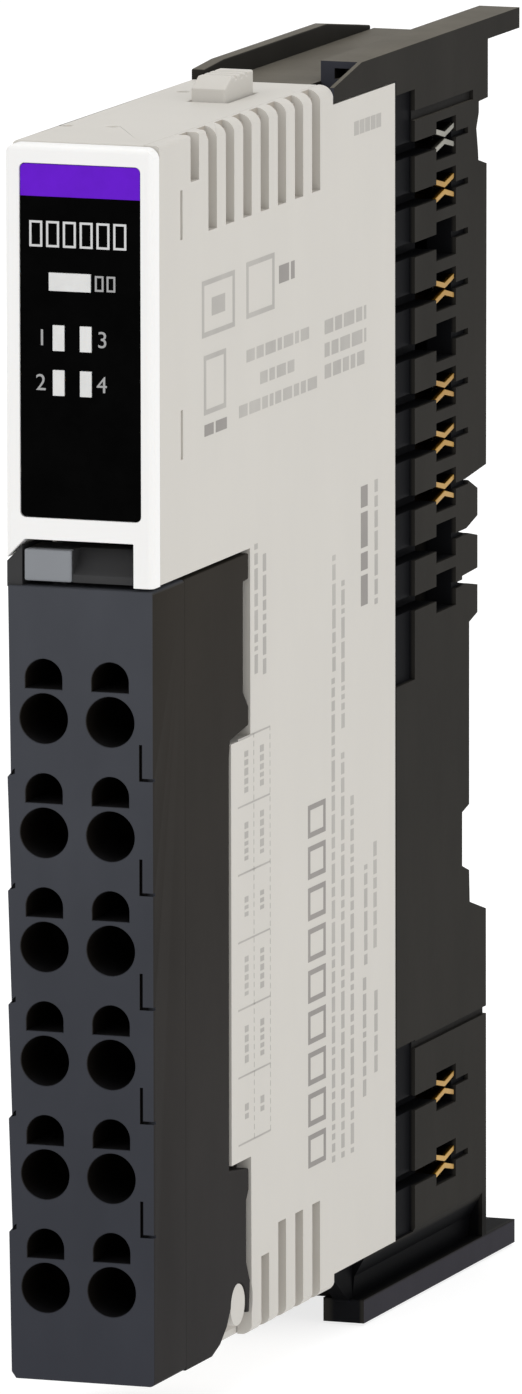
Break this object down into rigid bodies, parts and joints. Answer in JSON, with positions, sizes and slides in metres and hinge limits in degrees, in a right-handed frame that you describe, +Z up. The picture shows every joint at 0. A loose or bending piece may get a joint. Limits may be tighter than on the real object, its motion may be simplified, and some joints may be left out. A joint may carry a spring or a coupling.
{
  "type": "plc module",
  "caption": "Slim rail-mounted controller slice: dark base, light grey electronics module and a hinged push-in terminal block with a latch and a release tab.",
  "frame": {"origin": "centre of the base's upper rail land, at mid-width, where the slice sits against the mounting rail", "axes": "+X right as seen from the front, +Y towards the rail, +Z up"},
  "size_m": [0.0136, 0.0853, 0.1012],
  "materials": {
    "dark_base": "matte, finely textured",
    "gold_contact": "gold plated",
    "tin_contact": "tin plated",
    "grey_lock": "matte",
    "spring_steel": "bright",
    "light_grey": "matte, finely textured",
    "white_bezel": "satin",
    "black_lens": "glossy",
    "purple_band": "glossy",
    "light_pipe": "satin, translucent",
    "green_board": "solder mask",
    "led_body": "clear",
    "black_package": "matte",
    "can_aluminium": "satin",
    "chip_ceramic": "satin",
    "dark_terminal": "matte, finely textured",
    "grey_pad": "satin"
  },
  "bodies": {
    "base": {"base_housing": "dark_base", "base_cover": "dark_base", "bus_contacts": "gold_contact", "bus_contact_earth": "tin_contact", "power_contacts": "gold_contact", "rail_lock_spring": "spring_steel"},
    "rail_lock": {"rail_lock_slider": "grey_lock"},
    "electronics": {"body_housing": "light_grey", "body_cover": "light_grey", "front_bezel": "white_bezel", "display_lens": "black_lens", "colour_band": "purple_band", "status_light_pipe": "light_pipe", "channel_light_pipes": "light_pipe", "display_pcb": "green_board", "display_leds": "led_body", "main_pcb": "green_board", "ic_processor": "black_package", "ic_converters": "black_package", "isolation_transformer": "black_package", "capacitors": "can_aluminium", "chip_parts": "chip_ceramic", "terminal_header": "black_package", "header_blades": "gold_contact", "backplane_plug": "black_package", "plug_contacts": "gold_contact", "release_spring": "spring_steel"},
    "release": {"release_tab": "white_bezel"},
    "terminal_block": {"terminal_cells": "dark_terminal", "terminal_top_cap": "dark_terminal", "terminal_bottom_cap": "dark_terminal", "terminal_housing": "dark_terminal", "clamp_springs": "spring_steel", "current_bars": "gold_contact", "latch_spring": "spring_steel"},
    "latch": {"latch_lever": "dark_terminal", "latch_pad": "grey_pad", "latch_pin": "spring_steel"}
  },
  "joints": [
    {"name": "module_unplug", "type": "slide", "parent": "base", "child": "electronics", "axis": [0, -1, 0], "range_m": [0, 0.025]},
    {"name": "rail_lock_slide", "type": "slide", "parent": "base", "child": "rail_lock", "axis": [0, 0, 1], "range_m": [0, 0.0022], "stiffness_N_per_m": 900, "springref_m": -0.0015, "deforming": ["rail_lock_spring"]},
    {"name": "release_tab_press", "type": "slide", "parent": "electronics", "child": "release", "axis": [0, 0, -1], "range_m": [0, 0.0012], "stiffness_N_per_m": 1200, "springref_m": -0.0008, "deforming": ["release_spring"]},
    {"name": "terminal_swing", "type": "hinge", "parent": "electronics", "child": "terminal_block", "pos_m": [0, -0.05615, -0.05503], "axis": [1, 0, 0], "range_deg": [0, 50]},
    {"name": "latch_lift", "type": "hinge", "parent": "terminal_block", "child": "latch", "pos_m": [0, -0.0661, 0.00517], "axis": [-1, 0, 0], "range_deg": [0, 4], "stiffness_Nm_per_rad": 0.03, "springref_deg": -2.86, "deforming": ["latch_spring"]}
  ]
}
